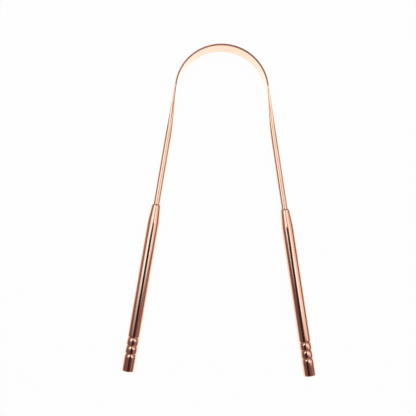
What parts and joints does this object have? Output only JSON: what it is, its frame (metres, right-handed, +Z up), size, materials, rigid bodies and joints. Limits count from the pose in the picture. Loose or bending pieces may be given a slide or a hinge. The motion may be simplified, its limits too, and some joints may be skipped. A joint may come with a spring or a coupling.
{
  "type": "tongue scraper",
  "caption": "U-shaped metal tongue scraper: a wire bow with a flattened scraping arch and two slim tubular handles.",
  "frame": {"origin": "on the resting plane, under the middle of the outline", "axes": "+Y from the handles' butts to the arch, +X across the legs to the right handle, +Z up along the height of the band"},
  "size_m": [0.0945, 0.1653, 0.0088],
  "materials": {
    "bow_copper": "polished copper",
    "sleeve_copper": "polished copper with fine draw lines",
    "plug_copper": "turned copper"
  },
  "bodies": {
    "root": {"scraper_bow": "bow_copper", "left_handle_sleeve": "sleeve_copper", "right_handle_sleeve": "sleeve_copper", "left_end_plug": "plug_copper", "right_end_plug": "plug_copper"}
  },
  "joints": []
}
